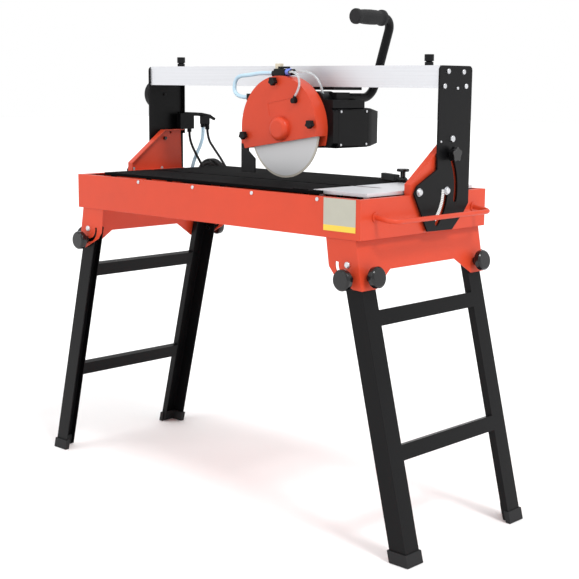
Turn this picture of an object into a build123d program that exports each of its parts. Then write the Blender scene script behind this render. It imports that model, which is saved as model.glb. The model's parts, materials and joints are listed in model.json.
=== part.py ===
from build123d import *
import os
from math import atan2, cos, degrees, radians, sin, sqrt, tan

# Tile cutter: a bridge wet saw on folding legs. Millimetres, +Z up, floor at z = 0,
# X along the tub, the operator stands at -Y.

# Overall sizes
TUB_LENGTH = 1080
TUB_DEPTH = 500
TUB_FLOOR = 760
TUB_HEIGHT = 96
BLADE_DIAMETER = 250
LEG_SPLAY = 13.8

# Tub, table and legs
SHEET = 2
RIM = 14
TABLE_THICKNESS = 8
TABLE_RISE = 9
SLOT_HALF = 5
UNDERCUT = 12
LEG_SHEET = 2.5
LEG_WIDTH = 48
LEG_RETURN = 52
LEG_LIP = 20
BRACKET_DROP = 119
PIVOT_DROP = 60
PIVOT_INSET = 40
STUD_ORBIT = 34
STUD_RADIUS = 4
RUNNING = 0.05
FOLD_RIGHT = 103
CROSSBAR_DEPTHS = (137, 462)
RUBBER = 4

# Gantry
POST_SHEET = 5
POST_GAP = 5
BEAM_HEIGHT = 55
BEAM_FRONT = 32
BEAM_BACK = 155
POST_BACK = 161
SLOT_1_ORBIT = 151
SLOT_2_ORBIT = 111
TILT_RANGE = 45

# Cutting head
CUT_Y = -45
BLADE_X = 97
BLADE_GAP = 8
BLADE_THICKNESS = 2.4
GUARD_MARGIN = 13
GUARD_FRONT = -66
GUARD_BACK = -26
SPINDLE_RADIUS = 8
MOTOR_SIZE = 104
MOTOR_END = 164
TUBE_RADIUS = 12
GRIP_OUT = 66
GRIP_RISE = 208

# Cords and hoses
MAINS_DIAMETER = 8
LEAD_DIAMETER = 8
HOSE_DIAMETER = 11
HEAD_HOSE_DIAMETER = 11
THIN_TUBE_DIAMETER = 6
COIL_RADIUS = 50
COIL_LAYERS = 3

HALF_X = TUB_LENGTH / 2
HALF_Y = TUB_DEPTH / 2
TUB_TOP = TUB_FLOOR + TUB_HEIGHT
TABLE_TOP = TUB_TOP + TABLE_RISE
TABLE_UNDER = TABLE_TOP - TABLE_THICKNESS
TABLE_LEFT = -HALF_X + 90
TABLE_RIGHT = HALF_X - 199
TILT_Z = TABLE_TOP - 2
PIVOT_X = HALF_X - PIVOT_INSET
PIVOT_Z = TUB_FLOOR - PIVOT_DROP
LEG_Y = HALF_Y - 11
LEG_OUT = 23
LEG_LENGTH = (PIVOT_Z - RUBBER) / cos(radians(LEG_SPLAY))
BRACKET_Y = HALF_Y - 4
POST_X = HALF_X + POST_GAP
STOP_KNOB_X = HALF_X - 71
BLADE_RADIUS = BLADE_DIAMETER / 2
BLADE_Z = TABLE_TOP + BLADE_GAP + BLADE_RADIUS
BEAM_UNDER = BLADE_Z + 115
BEAM_TOP = BEAM_UNDER + BEAM_HEIGHT
GUARD_X = BLADE_X - 2
GUARD_Z = BLADE_Z + 5
GUARD_RADIUS = BLADE_RADIUS + GUARD_MARGIN
HINGE_X = BLADE_X - 152
HINGE_Z = BLADE_Z + 72
MOTOR_X = BLADE_X + 103
MOTOR_Z = BLADE_Z + 9
CARRIAGE_UNDER = BEAM_UNDER - 28
CARRIAGE_LEFT = HINGE_X - 23
CARRIAGE_RIGHT = BLADE_X + 99
HANDLE_X = BLADE_X + 110
HANDLE_Z = BLADE_Z + 87
FENCE_X = TABLE_RIGHT + 4
FENCE_Y = 150
FENCE_REACH = 84


def box(x0, x1, y0, y1, z0, z1):
    size = Box(x1 - x0, y1 - y0, z1 - z0)
    return Pos((x0 + x1) / 2, (y0 + y1) / 2, (z0 + z1) / 2) * size


def slab_y(points, y0, y1):
    """An outline in X and Z, thick along Y."""
    face = Plane.XZ.offset(-y0) * Polygon(*points, align=None)
    return extrude(face, amount=y1 - y0, dir=(0, 1, 0))


def slab_x(points, x0, x1):
    """An outline in Y and Z, thick along X."""
    face = Plane.YZ.offset(x0) * Polygon(*points, align=None)
    return extrude(face, amount=x1 - x0, dir=(1, 0, 0))


def rod(start, end, radius):
    run = Vector(*end) - Vector(*start)
    plane = Plane(origin=start, z_dir=run)
    return extrude(plane * Circle(radius), amount=run.length)


def pipe(start, end, radius, bore):
    return rod(start, end, radius) - rod(start, end, bore)


def disc_y(x, z, y0, y1, radius):
    return rod((x, y0, z), (x, y1, z), radius)


def disc_x(y, z, x0, x1, radius):
    return rod((x0, y, z), (x1, y, z), radius)


def sweep_round(points, radius, bend):
    path = FilletPolyline(*points, radius=bend)
    start = Plane(origin=path @ 0, z_dir=path % 0)
    return sweep(start * Circle(radius), path=path)


def mirrored(solid):
    return mirror(solid, about=Plane.YZ)


def both_y(solid):
    return solid + mirror(solid, about=Plane.XZ)


# ---------------------------------------------------------------- tub group

def tub():
    body = box(-HALF_X, HALF_X, -HALF_Y, HALF_Y, TUB_FLOOR, TUB_TOP)
    inner_x = HALF_X - SHEET
    inner_y = HALF_Y - SHEET
    body -= box(-inner_x, inner_x, -inner_y, inner_y, TUB_FLOOR + SHEET, TUB_TOP - SHEET)
    body -= box(-HALF_X + RIM, HALF_X - RIM, -HALF_Y + RIM, HALF_Y - RIM, TUB_TOP - 3, TUB_TOP + 1)
    return body


def peg(x, y):
    return disc_z(x, y, TUB_FLOOR + SHEET, TABLE_UNDER + 1, 8)


def disc_z(x, y, z0, z1, radius):
    return rod((x, y, z0), (x, y, z1), radius)


def table_front():
    front = -HALF_Y + 27
    body = box(TABLE_LEFT, TABLE_RIGHT, front, CUT_Y - SLOT_HALF, TABLE_UNDER, TABLE_TOP)
    body += box(TABLE_RIGHT - 44, TABLE_RIGHT, front, front + 10, TABLE_UNDER, TABLE_TOP + 2)
    body += box(TABLE_RIGHT - 1, TABLE_RIGHT + 36, front, front + 24, TABLE_UNDER, TABLE_TOP)
    for x in (TABLE_LEFT + 20, TABLE_RIGHT - 20):
        for y in (front + 18, CUT_Y - 30):
            body += peg(x, y)
    return body


def table_rear():
    near = CUT_Y + SLOT_HALF
    back = HALF_Y - 10
    outline = [(near, TABLE_TOP), (near + UNDERCUT, TABLE_UNDER), (back, TABLE_UNDER), (back, TABLE_TOP)]
    body = slab_x(outline, TABLE_LEFT, TABLE_RIGHT)
    for x in (TABLE_LEFT + 20, TABLE_RIGHT - 20):
        for y in (5, back - 18):
            body += peg(x, y)
    return body


def end_plate():
    left = TABLE_RIGHT + 2
    right = HALF_X - 25
    body = box(left, right, -HALF_Y + 52, HALF_Y - 25, TABLE_UNDER, TABLE_TOP + 1)
    near = CUT_Y - SLOT_HALF
    far = CUT_Y + SLOT_HALF
    top = TABLE_TOP + 2
    under = TABLE_UNDER - 1
    slot = [(near, top), (far, top), (far + UNDERCUT + 2, under), (near, under)]
    body -= slab_x(slot, left - 1, left + 87)
    for x in (left + 15, right - 15):
        for y in (-HALF_Y + 68, HALF_Y - 45):
            body += peg(x, y)
    return body


def bracket_right():
    top = TUB_FLOOR
    low = TUB_FLOOR - BRACKET_DROP
    x = HALF_X
    outline = [(x - 110, top), (x - 100, top - 68), (x - 84, top - 87)]
    outline += [(x - 23, top - 117.5), (x + 5, low), (x - 17, top)]
    body = slab_y(outline, -BRACKET_Y, BRACKET_Y)
    t = LEG_SHEET
    inner = [(x - 120, top - t), (x - 120, low - 20), (x + 5 - t, low - 20), (x + 5 - t, low)]
    inner += [(x - 17 - t + 22 * t / BRACKET_DROP, top - t)]
    body -= slab_y(inner, -BRACKET_Y + t, BRACKET_Y - t)
    notch = [(-BRACKET_Y + 54, low - 1), (-132, top - 77), (126, top - 77), (BRACKET_Y - 54, low - 1)]
    body -= slab_x(notch, x - 30, x + 20)
    body -= slab_y(leg_slot_outline(), -BRACKET_Y - 1, -BRACKET_Y + 5)
    body -= slab_y(leg_slot_outline(), BRACKET_Y - 5, BRACKET_Y + 1)
    for y in (-1, 1):
        body -= disc_y(PIVOT_X, PIVOT_Z, y * (BRACKET_Y - 5), y * (BRACKET_Y + 1), 6)
        start = end_point(y * (LEG_Y - 26), -2)
        end = end_point(y * (LEG_Y - 26), 8)
        body += rod(start, end_point(y * (LEG_Y - 26), -0.5), 11)
        body -= rod(start, end, STUD_RADIUS + RUNNING)
    return body


def end_lean():
    return atan2(22, BRACKET_DROP)


def end_point(y, out):
    """A point on the end plate's clamp axis, at a distance outside its inner face."""
    z = TUB_FLOOR - 91
    x = HALF_X - 17 - LEG_SHEET + 22 * 91 / BRACKET_DROP
    return (x + out * cos(end_lean()), y, z + out * sin(end_lean()))


def leg_slot_outline():
    """The arc slot that the leg's clamp stud runs in."""
    first = -90 + LEG_SPLAY + 9
    last = first - FOLD_RIGHT - 18
    steps = 24
    angles = [radians(first + (last - first) * i / steps) for i in range(steps + 1)]
    outer = STUD_ORBIT + STUD_RADIUS + 1
    inner = STUD_ORBIT - STUD_RADIUS - 1
    points = [(PIVOT_X + outer * cos(a), PIVOT_Z + outer * sin(a)) for a in angles]
    points += [(PIVOT_X + inner * cos(a), PIVOT_Z + inner * sin(a)) for a in reversed(angles)]
    return points


def gusset_right():
    z = TUB_TOP
    outline = [(-64, z), (-64, z + 26), (65, z + 122), (143, z + 123), (147, z)]
    inside = [(-61, z + 3), (-61, z + 24.5), (66, z + 119), (160, z + 120), (160, z + 3)]
    body = slab_x(outline, HALF_X - 20, HALF_X) - slab_x(inside, HALF_X - 21, HALF_X - 4)
    body -= disc_x(102, z + 113, HALF_X - 5, HALF_X + 1, 4)
    stud = bevel_stud()
    body -= disc_x(stud[0], stud[1], HALF_X - 5, HALF_X + 1, 5 + RUNNING)
    guide = guide_bolt()
    body -= disc_x(guide[0], guide[1], HALF_X - 5, HALF_X + 1, 5)
    body -= disc_x(CUT_Y, TILT_Z, HALF_X - 5, HALF_X + 1, 5)
    return body


def bevel_stud():
    angle = radians(36)
    return (CUT_Y + SLOT_1_ORBIT * cos(angle), TILT_Z + SLOT_1_ORBIT * sin(angle))


def guide_bolt():
    angle = radians(-1)
    return (CUT_Y + SLOT_2_ORBIT * cos(angle), TILT_Z + SLOT_2_ORBIT * sin(angle))


def gussets():
    right = gusset_right()
    return Compound(children=[right, mirrored(right)])


def carry_rail():
    y = HALF_Y - 54
    z = TUB_FLOOR + 52
    out = HALF_X + 58
    points = [(HALF_X, -y, z), (out, -y, z - 7), (out, y, z - 7), (HALF_X, y, z)]
    body = sweep_round(points, 6, 26)
    for side in (-y, y):
        body += disc_x(side, z, HALF_X, HALF_X + 3, 12)
    return body & box(HALF_X, out + 20, -HALF_Y, HALF_Y, TUB_FLOOR, TUB_TOP)


def dome(centre, axis, radius, height):
    """A low rounded screw head that stands on a face."""
    plane = Plane(origin=centre, z_dir=axis)
    head = extrude(plane * Circle(radius), amount=height)
    far = head.faces().sort_by(Axis(centre, axis))[-1]
    return fillet(far.edges(), height * 0.6)


def side_bolts():
    """Tilt pivot and guide bolt of the right end."""
    solids = []
    for y, z in ((CUT_Y, TILT_Z), guide_bolt()):
        shaft = disc_x(y, z, HALF_X - 4, POST_X + POST_SHEET + 3, 5)
        shaft += disc_x(y, z, POST_X + POST_SHEET + 0.3, POST_X + POST_SHEET + 2.3, 10)
        shaft += dome((POST_X + POST_SHEET + 2.3, y, z), (1, 0, 0), 8, 6)
        solids.append(shaft)
    return solids


def tub_bolts():
    solids = []
    for bolt in side_bolts():
        solids += [bolt, mirrored(bolt)]
    for x in (-PIVOT_X, PIVOT_X):
        for side in (-1, 1):
            bolt = disc_y(x, PIVOT_Z, side * (LEG_Y - 9), side * BRACKET_Y, 6)
            bolt += disc_y(x, PIVOT_Z, side * (LEG_Y - 9), side * (LEG_Y - 2.8), 10)
            bolt += disc_y(x, PIVOT_Z, side * (LEG_Y + 0.3), side * (BRACKET_Y - LEG_SHEET), 11)
            bolt += dome((x, side * BRACKET_Y, PIVOT_Z), (0, side, 0), 8, 5)
            solids.append(bolt)
    for share in (-0.49, -0.076, 0.335, 0.748):
        centre = (share * HALF_X, -HALF_Y, TUB_TOP - 7)
        solids.append(dome(centre, (0, -1, 0), 5, 3))
    return Compound(children=solids)


def label_plate():
    right = HALF_X - 14
    return box(right - 101, right, -HALF_Y - 1, -HALF_Y, TUB_TOP - 79, TUB_TOP - 1)


def pump():
    x = -HALF_X + 35
    y = HALF_Y - 67
    low = TUB_FLOOR + SHEET
    body = box(x - 26, x + 30, y - 42, y + 38, low, low + 52)
    body = fillet(body.edges().filter_by(Axis.Z), 10)
    body += disc_z(x - 10, y - 20, low + 51, low + 66, 8)
    body += disc_z(x + 14, y + 18, low + 51, low + 62, 7)
    return body


ARM_X = -HALF_X + 13


def hose_arm():
    """The arm that carries the hose and leads at the back, and the hook for the coil."""
    z = TUB_TOP + 123
    body = box(-HALF_X + 6.5, -HALF_X + 24, 126, 182, z, z + 48)
    arm = [(180, z + 51), (222, z + 49), (258, z + 43), (282, z + 31), (278, z + 24)]
    arm += [(252, z + 34), (222, z + 38), (180, z + 40), (160, z + 33), (150, z + 33), (150, z + 52)]
    body += slab_x(arm, -HALF_X + 9, -HALF_X + 15)
    body += disc_x(167, z + 42, -HALF_X + 15, -HALF_X + 19, 5)
    body += box(-HALF_X + 6, -HALF_X + 24, 222, 248, z + 14, z + 40)
    body += disc_z(ARM_X, 229, z + 4, z + 15, 8)
    body += disc_z(ARM_X + 5, 243, z - 4, z + 15, 7)
    body += disc_z(-HALF_X + 17, 168, z - 10, z + 1, 7)
    hook_x = -HALF_X + 10
    top = coil_z() + COIL_RADIUS - 14.7
    hook = box(hook_x - 8, hook_x + 8, HALF_Y, HALF_Y + 3, TUB_FLOOR + 40, top)
    hook += box(hook_x - 8, hook_x + 8, HALF_Y, HALF_Y + 38, top - 4, top)
    hook += box(hook_x - 8, hook_x + 8, HALF_Y + 34, HALF_Y + 37, top - 4, top + 10)
    return Compound(children=[body, hook])


def coil_z():
    return TUB_TOP + 29 - COIL_RADIUS - 13.5


def mains_coil():
    x = -HALF_X + 10
    half = COIL_LAYERS * MAINS_DIAMETER / 2
    ring = disc_y(x, coil_z(), HALF_Y + 4, HALF_Y + 4 + 2 * half, COIL_RADIUS + half)
    return ring - disc_y(x, coil_z(), HALF_Y + 3, HALF_Y + 60, COIL_RADIUS - half)


def cord_tube(points, diameter, name):
    """Straight runs joined by tangent arcs, each arc as round as its corner allows."""
    runs = [Vector(*b) - Vector(*a) for a, b in zip(points, points[1:])]
    radii = []
    for first, second in zip(runs, runs[1:]):
        half_turn = radians(first.get_angle(second)) / 2
        radii.append(0.45 * min(first.length, second.length) / tan(half_turn))
    print(name, "bend radii", [round(r) for r in radii])
    edges = []
    here = Vector(*points[0])
    for i, radius in enumerate(radii):
        corner = Vector(*points[i + 1])
        setback = 0.45 * min(runs[i].length, runs[i + 1].length)
        arc_start = corner - runs[i].normalized() * setback
        arc_end = corner + runs[i + 1].normalized() * setback
        edges.append(Line(here, arc_start))
        edges.append(TangentArc(arc_start, arc_end, tangent=runs[i].normalized()))
        here = arc_end
    edges.append(Line(here, Vector(*points[-1])))
    path = Wire(edges)
    plane = Plane(origin=points[0], z_dir=runs[0])
    print(name, "length", round(path.length), "mm")
    return sweep(plane * Circle(diameter / 2), path=path)


def mains_points():
    x = -HALF_X
    y = HALF_Y
    z = TUB_TOP
    points = [(x + 18, y - 7, z + 119), (x + 20, y - 6, z + 90), (x + 42, y - 2, z + 62)]
    points += [(x + 70, y + 6, z + 26), (x + 96, y + 14, z - 16), (x + 102, y + 16, z - 50)]
    points += [(x + 86, y + 16, z - 80), (x + 50, y + 16, z - 94)]
    points += [(x + 12, y + 16, coil_z() - COIL_RADIUS)]
    return points


def mains_cord():
    return cord_tube(mains_points(), MAINS_DIAMETER, "mains_cord")


def mains_plug():
    x = -HALF_X + 10 - COIL_RADIUS * 0.2
    z = coil_z() - COIL_RADIUS - 6
    y = HALF_Y + 4 + MAINS_DIAMETER * 2.5
    body = rod((x, y, z), (x - 36, y, z - 8), 6)
    body += rod((x - 34, y, z - 7.5), (x - 66, y, z - 14.5), 17)
    for side in (-8, 8):
        body += rod((x - 64, y + side, z - 14), (x - 84, y + side, z - 18.5), 2.4)
    return body


def hose_points():
    x = ARM_X
    z = TUB_TOP
    points = [(x, 229, z + 127), (x, 230, z + 104), (x, 221, z + 74), (x, 200, z + 42)]
    points += [(x + 10, 177, z + 14), (x + 12, HALF_Y - 87, z - 28)]
    return points


def supply_hose():
    return cord_tube(hose_points(), HOSE_DIAMETER, "supply_hose")


def lead_points():
    x = -HALF_X + 17
    z = TUB_TOP
    points = [(x, 168, z + 113), (x, 169, z + 92), (x + 6, 178, z + 62), (x + 14, 190, z + 34)]
    points += [(x + 24, 205, z + 2), (x + 32, HALF_Y - 49, z - 32)]
    return points


def pump_lead():
    return cord_tube(lead_points(), LEAD_DIAMETER, "pump_lead")


# ---------------------------------------------------------------- legs

def lean(solid):
    """From the upright leg frame to its splayed place on the right."""
    return Pos(PIVOT_X, 0, PIVOT_Z) * Rot(0, -LEG_SPLAY, 0) * solid


def leg_frame_right():
    t = LEG_SHEET
    reach = LEG_LENGTH + 30
    leg = box(LEG_OUT - t, LEG_OUT, LEG_Y - LEG_RETURN, LEG_Y, -reach, 0)
    leg += box(LEG_OUT - LEG_WIDTH, LEG_OUT, LEG_Y - t, LEG_Y, -reach, 0)
    leg += disc_y(-1, 0, LEG_Y - t, LEG_Y, LEG_OUT + 1)
    lip = LEG_Y - LEG_RETURN
    leg += box(LEG_OUT - LEG_LIP, LEG_OUT, lip, lip + t, -reach, -2)
    leg += disc_y(0, -STUD_ORBIT, LEG_Y - t - 8, LEG_Y - t, 9)
    leg -= disc_y(0, -STUD_ORBIT, LEG_Y - 20, LEG_Y + 1, STUD_RADIUS + RUNNING)
    leg -= disc_y(0, 0, LEG_Y - 20, LEG_Y + 1, 6 + RUNNING)
    frame = both_y(leg)
    for depth in CROSSBAR_DEPTHS:
        bar = box(LEG_OUT - 20, LEG_OUT, -lip, lip, -depth - 19, -depth + 19)
        bar -= box(LEG_OUT - 18, LEG_OUT - 2, -lip, lip, -depth - 17, -depth + 17)
        frame += bar
    return lean(frame) - box(-HALF_X, HALF_X * 3, -HALF_Y - 50, HALF_Y + 50, -99, RUBBER)


def foot(side):
    slope = tan(radians(LEG_SPLAY))
    outer = PIVOT_X + LEG_OUT / cos(radians(LEG_SPLAY)) + PIVOT_Z * slope
    high = 30
    wide = LEG_WIDTH + 6
    drop = high * slope
    outline = [(outer + 4, 0), (outer + 4 - drop, high), (outer - wide - drop, high), (outer - wide, 0)]
    cap = slab_y(outline, LEG_Y - LEG_RETURN - 4, LEG_Y + 4)
    hollow = [(outer - 10, -1), (outer - 10 - drop - 2, high + 7), (outer - 90, high + 7), (outer - 90, -1)]
    cap -= slab_y(hollow, LEG_Y - LEG_RETURN - 5, LEG_Y - 10)
    if side < 0:
        cap = mirror(cap, about=Plane.XZ)
    return cap - leg_frame_right()


def feet_right():
    return Compound(children=[foot(-1), foot(1)])


def clamp_knob(radius, stud, neck, thick):
    """A clamp knob on a stud, along +Z from its seat at z = 0."""
    body = rod((0, 0, -stud), (0, 0, 1), STUD_RADIUS)
    body += Cone(11, 9, neck, align=(Align.CENTER, Align.CENTER, Align.MIN))
    head = Pos(0, 0, neck) * Cylinder(radius, thick, align=(Align.CENTER, Align.CENTER, Align.MIN))
    edges = head.edges().filter_by(GeomType.CIRCLE)
    return body + chamfer(edges, 4)


def leg_knob(side_x, side_y):
    angle = radians(LEG_SPLAY)
    x = PIVOT_X + STUD_ORBIT * sin(angle)
    z = PIVOT_Z - STUD_ORBIT * cos(angle)
    seat = Plane(origin=(x, side_y * (BRACKET_Y + 0.5), z), z_dir=(0, side_y, 0))
    knob = seat * clamp_knob(26, 16, 16, 20)
    return knob if side_x > 0 else mirrored(knob)


def end_knob(side_x, side_y):
    y = side_y * (LEG_Y - 26)
    axis = (cos(end_lean()), 0, sin(end_lean()))
    seat = Plane(origin=end_point(y, LEG_SHEET + 0.5), z_dir=axis)
    knob = seat * clamp_knob(26, 7.5, 13, 20)
    return knob if side_x > 0 else mirrored(knob)


# ---------------------------------------------------------------- gantry

def arc_slot(orbit, first, last, half):
    """An arc slot about the tilt pivot, with round ends, as a cutter along X."""
    steps = 12
    angles = [radians(first + (last - first) * i / steps) for i in range(steps + 1)]
    outer = [(CUT_Y + (orbit + half) * cos(a), TILT_Z + (orbit + half) * sin(a)) for a in angles]
    inner = [(CUT_Y + (orbit - half) * cos(a), TILT_Z + (orbit - half) * sin(a)) for a in reversed(angles)]
    cutter = slab_x(outer + inner, POST_X - 1, POST_X + POST_SHEET + 1)
    for a in (angles[0], angles[-1]):
        y = CUT_Y + orbit * cos(a)
        z = TILT_Z + orbit * sin(a)
        cutter += disc_x(y, z, POST_X - 1, POST_X + POST_SHEET + 1, half)
    return cutter


def post_right():
    top = BEAM_TOP
    z = TABLE_TOP
    outline = [(27, top), (27, z + 50), (-50, z + 14), (-62, z - 6), (-6, z - 101), (95, z - 103)]
    outline += [(144, z - 60), (POST_BACK, z - 40), (POST_BACK, top)]
    body = slab_x(outline, POST_X, POST_X + POST_SHEET)
    tops = body.edges().filter_by(Axis.X).sort_by(Axis.Z)[-2:]
    body = fillet(tops, 12)
    body += box(POST_X - 10, POST_X + 1, POST_BACK - 3, POST_BACK, z + 100, top - 12)
    body -= arc_slot(SLOT_1_ORBIT, 37, 36 - TILT_RANGE - 1, 6.5)
    body -= arc_slot(SLOT_2_ORBIT, 0, -TILT_RANGE - 2, 6.5)
    body -= disc_x(CUT_Y, TILT_Z, POST_X - 1, POST_X + 10, 5 + RUNNING)
    return body


def post_left():
    body = mirrored(post_right())
    return body - disc_x(87, BEAM_UNDER - 28, -POST_X - 10, -POST_X + 1, 5 + RUNNING)


def beam():
    body = box(-POST_X, POST_X, BEAM_FRONT, BEAM_BACK, BEAM_UNDER, BEAM_TOP)
    body -= box(-POST_X, POST_X, BEAM_FRONT + 4, BEAM_BACK - 4, BEAM_UNDER + 4, BEAM_TOP - 4)
    body -= box(-POST_X, POST_X, 76, 112, BEAM_UNDER - 1, BEAM_UNDER + 5)
    for x in (-STOP_KNOB_X, STOP_KNOB_X):
        body -= disc_z(x, 88, BEAM_TOP - 5, BEAM_TOP + 1, STUD_RADIUS + RUNNING)
    return body


def gantry_bolts():
    solids = []
    face = POST_X + POST_SHEET
    corners = ((60, -14, 6.5), (123, -15, 6.5), (46, -50, 6.5), (134, -50, 6.5), (99, -55, 4))
    for y, down, radius in corners:
        solids.append(dome((face, y, BEAM_TOP + down), (1, 0, 0), radius, 4))
    solids.append(dome((face, 84, TABLE_TOP + 124), (1, 0, 0), 8.5, 5))
    solids.append(dome((face, 38, TABLE_TOP + 118), (1, 0, 0), 3, 2.5))
    return Compound(children=solids + [mirrored(s) for s in solids])


def lobed_knob(radius, lobes, thick):
    """A lobed hand knob along +Z from z = 0."""
    body = Cylinder(radius * 0.8, thick, align=(Align.CENTER, Align.CENTER, Align.MIN))
    for i in range(lobes):
        lobe = Cylinder(radius * 0.3, thick, align=(Align.CENTER, Align.CENTER, Align.MIN))
        body += Rot(0, 0, 360 * i / lobes) * Pos(radius * 0.7, 0, 0) * lobe
    return body


def bevel_knob_right():
    y, z = bevel_stud()
    seat = Plane(origin=(POST_X + POST_SHEET + 0.5, y, z), z_dir=(1, 0, 0))
    knob = rod((0, 0, -22), (0, 0, 1), 5) + rod((0, 0, 0), (0, 0, 8), 10)
    return seat * (knob + Pos(0, 0, 7) * lobed_knob(19, 5, 16))


def post_knob():
    seat = Plane(origin=(-POST_X - POST_SHEET - 0.5, 87, BEAM_UNDER - 28), z_dir=(-1, 0, 0))
    knob = rod((0, 0, -9), (0, 0, 1), 5) + rod((0, 0, 0), (0, 0, 23), 13)
    disc = rod((0, 0, 22), (0, 0, 44), 42)
    return seat * (knob + chamfer(disc.edges().filter_by(GeomType.CIRCLE), 3))


def stop_knob(side):
    seat = Plane(origin=(side * STOP_KNOB_X, 88, BEAM_TOP + 0.3), z_dir=(0, 0, 1))
    knob = rod((0, 0, -9), (0, 0, 1), STUD_RADIUS) + rod((0, 0, 0), (0, 0, 9), 11)
    knob += rod((0, 0, 8), (0, 0, 12), 8) + rod((0, 0, 11), (0, 0, 28), 12)
    return seat * knob


# ---------------------------------------------------------------- carriage and head

def carriage():
    under = CARRIAGE_UNDER
    body = box(CARRIAGE_LEFT, CARRIAGE_RIGHT, BEAM_FRONT + 4, BEAM_BACK - 4, BEAM_UNDER - 8, BEAM_UNDER - 0.3)
    body += box(CARRIAGE_LEFT, CARRIAGE_LEFT + 46, BEAM_FRONT + 4, BEAM_BACK - 4, under, BEAM_UNDER - 7)
    body += box(CARRIAGE_LEFT + 10, CARRIAGE_RIGHT - 10, 82, 106, BEAM_UNDER - 1, BEAM_UNDER + 12)
    body += box(CARRIAGE_LEFT + 10, CARRIAGE_RIGHT - 10, 62, 126, BEAM_UNDER + 5, BEAM_UNDER + 12)
    for y in (40, 118):
        body += box(HINGE_X - 20, HINGE_X + 20, y, y + 10, HINGE_Z, under + 1)
        body += disc_y(HINGE_X, HINGE_Z, y, y + 10, 18)
    body += disc_y(HINGE_X, HINGE_Z, 36, 132, 6)
    return body


def arm():
    """The head casting: hinge barrel, saddle over the motor, spindle housing and handle clamp."""
    top = CARRIAGE_UNDER - 5
    saddle_half = MOTOR_SIZE / 2
    saddle = MOTOR_Z + saddle_half
    body = disc_y(HINGE_X, HINGE_Z, 50.5, 117.5, 14)
    outline = [(HINGE_X, top), (HINGE_X, HINGE_Z - 14), (BLADE_X, HINGE_Z - 20), (MOTOR_X + 50, saddle)]
    outline += [(MOTOR_X + 50, top)]
    body += slab_y(outline, 52, 100)
    body += box(BLADE_X - 30, MOTOR_X + 50, GUARD_BACK, 52, saddle, top)
    body += disc_y(MOTOR_X - 10, saddle + 14, GUARD_BACK, 28, 29)
    body -= box(MOTOR_X - saddle_half, MOTOR_X + saddle_half, GUARD_BACK + 20, 120, MOTOR_Z, saddle)
    case = [(BLADE_X - 42, BLADE_Z - 34), (BLADE_X + 20, BLADE_Z - 46), (MOTOR_X + 40, MOTOR_Z - 50)]
    case += [(MOTOR_X + 52, MOTOR_Z - 38), (MOTOR_X + 52, MOTOR_Z + 44), (MOTOR_X + 40, saddle + 4)]
    case += [(BLADE_X - 30, saddle + 4), (BLADE_X - 42, BLADE_Z + 30)]
    body += slab_y(case, GUARD_BACK, GUARD_BACK + 20)
    body += disc_y(BLADE_X, BLADE_Z, GUARD_BACK, 40, 30)
    body += box(HANDLE_X - 21, HANDLE_X + 25, 8, 60, top - 4, HANDLE_Z + 14)
    body -= disc_y(BLADE_X, BLADE_Z, GUARD_BACK - 1, 36, SPINDLE_RADIUS + RUNNING)
    body -= disc_y(HINGE_X, HINGE_Z, 30, 130, 6 + RUNNING)
    body -= disc_y(HANDLE_X, HANDLE_Z, 7, 200, TUBE_RADIUS)
    return body


def guard_chord(below, tilt):
    """A half plane above a tilted chord of the guard, as a solid to keep."""
    keep = Box(900, 200, 600, align=(Align.CENTER, Align.CENTER, Align.MIN))
    return Pos(GUARD_X, CUT_Y, GUARD_Z) * Rot(0, -tilt, 0) * Pos(0, 0, -below) * keep


def guard_back():
    body = disc_y(GUARD_X, GUARD_Z, GUARD_FRONT, GUARD_BACK, GUARD_RADIUS)
    body -= disc_y(GUARD_X, GUARD_Z, GUARD_FRONT - 1, GUARD_BACK - 3, GUARD_RADIUS - 3)
    body = body & guard_chord(52, 5)
    lower = box(-900, 900, GUARD_FRONT - 1, GUARD_BACK - 3, GUARD_Z - 200, GUARD_Z + 200)
    body -= lower - guard_chord(36.6, 8.8)
    body -= disc_y(BLADE_X, BLADE_Z, GUARD_BACK - 4, GUARD_BACK + 1, 17)
    left = GUARD_X - GUARD_RADIUS
    lug = box(left - 19, left + 12, CUT_Y - 7, CUT_Y + 7, BLADE_Z - 40, BLADE_Z - 14)
    body += lug - disc_y(GUARD_X, GUARD_Z, -90, 0, GUARD_RADIUS - 2)
    return body


def guard_knob_places():
    orbit = GUARD_RADIUS - 14
    places = []
    for angle in (95, 7, 190):
        a = radians(angle)
        places.append((GUARD_X + orbit * cos(a), GUARD_Z + orbit * sin(a)))
    return places


def guard_front():
    body = disc_y(GUARD_X, GUARD_Z, GUARD_FRONT - 3, GUARD_FRONT, GUARD_RADIUS)
    body = body & guard_chord(36.6, 8.8)
    boss = disc_y(GUARD_X + 10, GUARD_Z, GUARD_FRONT - 21, GUARD_FRONT, 32)
    far = boss.faces().sort_by(Axis.Y)[0]
    body += fillet(far.edges(), 14)
    body -= disc_y(GUARD_X + 10, GUARD_Z, GUARD_FRONT - 6, GUARD_FRONT + 1, 24)
    badge = Pos(GUARD_X + 5, GUARD_FRONT - 3, GUARD_Z + 57) * Rot(0, -10, 0) * Box(84, 2, 32)
    body -= badge
    for x, z in guard_knob_places():
        body -= disc_y(x, z, GUARD_FRONT - 4, GUARD_FRONT + 1, 3 + RUNNING)
    return body


def guard_knob(place):
    x, z = place
    seat = Plane(origin=(x, GUARD_FRONT - 3.5, z), z_dir=(0, -1, 0))
    knob = rod((0, 0, -7), (0, 0, 1), 3) + rod((0, 0, 0), (0, 0, 5), 6)
    return seat * (knob + Pos(0, 0, 4) * lobed_knob(11.5, 5, 12))


def blade():
    body = disc_y(BLADE_X, BLADE_Z, CUT_Y - BLADE_THICKNESS / 2, CUT_Y + BLADE_THICKNESS / 2, BLADE_RADIUS)
    return body - disc_y(BLADE_X, BLADE_Z, CUT_Y - 5, CUT_Y + 5, SPINDLE_RADIUS)


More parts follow.
